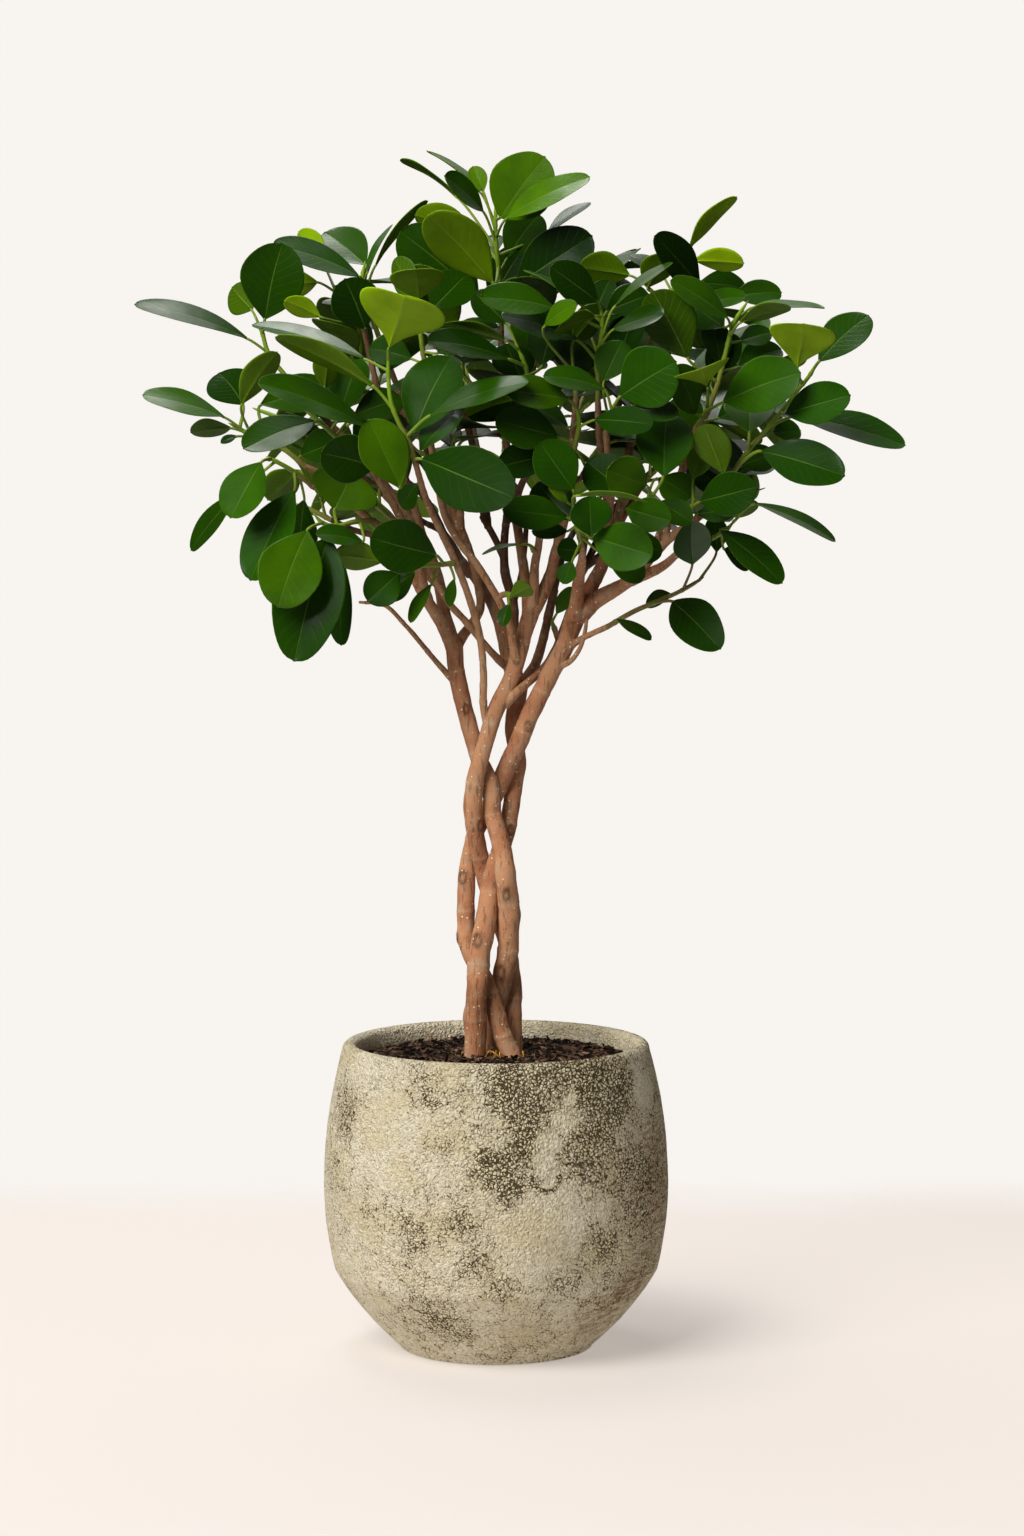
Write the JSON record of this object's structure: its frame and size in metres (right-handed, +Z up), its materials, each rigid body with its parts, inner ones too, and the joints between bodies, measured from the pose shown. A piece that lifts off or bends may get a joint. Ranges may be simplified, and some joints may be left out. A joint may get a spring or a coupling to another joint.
{
  "type": "potted ficus",
  "caption": "Braided ficus tree with plaited woody stems and a round crown of glossy oval leaves, standing in soil in a round matt-glazed ceramic pot.",
  "frame": {"origin": "centre of the pot's flat foot, on the floor", "axes": "+Z up along the pot's axis and the stems; the front that the picture shows faces -Y; +X to the right as seen from the front"},
  "size_m": [0.5594, 0.4477, 0.9008],
  "materials": {
    "speckled_glaze": "matt cream reactive glaze, pitted and crackled, with dense olive-brown speckle",
    "potting_soil": "dark brown coarse fibrous potting mix",
    "bark": "warm brown smooth bark with pale dots, ring scars and knots",
    "leaf_green": "thick waxy dark green blades, bright yellow-green stalks and young leaves"
  },
  "bodies": {
    "root": {"pot": "speckled_glaze", "shoot_back_high_left": "leaf_green", "shoot_back_high_right": "leaf_green", "shoot_back_low": "leaf_green", "shoot_back_low_left": "leaf_green", "shoot_back_low_right": "leaf_green", "shoot_back_mid": "leaf_green", "shoot_back_mid_left": "leaf_green", "shoot_back_mid_right": "leaf_green", "shoot_back_right": "leaf_green", "shoot_back_top": "leaf_green", "shoot_back_top_left": "leaf_green", "shoot_centre": "leaf_green", "shoot_centre_low": "leaf_green", "shoot_centre_mid": "leaf_green", "shoot_cup_leaf": "leaf_green", "shoot_far_left": "leaf_green", "shoot_far_low_left": "leaf_green", "shoot_fork_leaf": "leaf_green", "shoot_fork_olive": "leaf_green", "shoot_fork_small": "leaf_green", "shoot_high_front": "leaf_green", "shoot_high_left": "leaf_green", "shoot_high_right": "leaf_green", "shoot_inner_high": "leaf_green", "shoot_inner_high_left": "leaf_green", "shoot_inner_left": "leaf_green", "shoot_inner_low": "leaf_green", "shoot_inner_low_left": "leaf_green", "shoot_inner_low_right": "leaf_green", "shoot_inner_mid_left": "leaf_green", "shoot_inner_middle": "leaf_green", "shoot_inner_right": "leaf_green", "shoot_inner_top": "leaf_green", "shoot_leaf_left": "leaf_green", "shoot_low_left": "leaf_green", "shoot_main_left": "leaf_green", "shoot_mid_left": "leaf_green", "shoot_outer_left": "leaf_green", "shoot_right_arm": "leaf_green", "shoot_right_centre": "leaf_green", "shoot_right_front": "leaf_green", "shoot_right_glossy": "leaf_green", "shoot_right_low_inner": "leaf_green", "shoot_right_small": "leaf_green", "shoot_right_tip": "leaf_green", "shoot_right_twig": "leaf_green", "shoot_right_upper": "leaf_green", "shoot_side_left": "leaf_green", "shoot_side_low_left": "leaf_green", "shoot_side_low_right": "leaf_green", "shoot_side_right": "leaf_green", "shoot_top": "leaf_green", "soil": "potting_soil", "stem_back": "bark", "stem_front": "bark", "stem_left": "bark", "stem_right": "bark"}
  },
  "joints": []
}
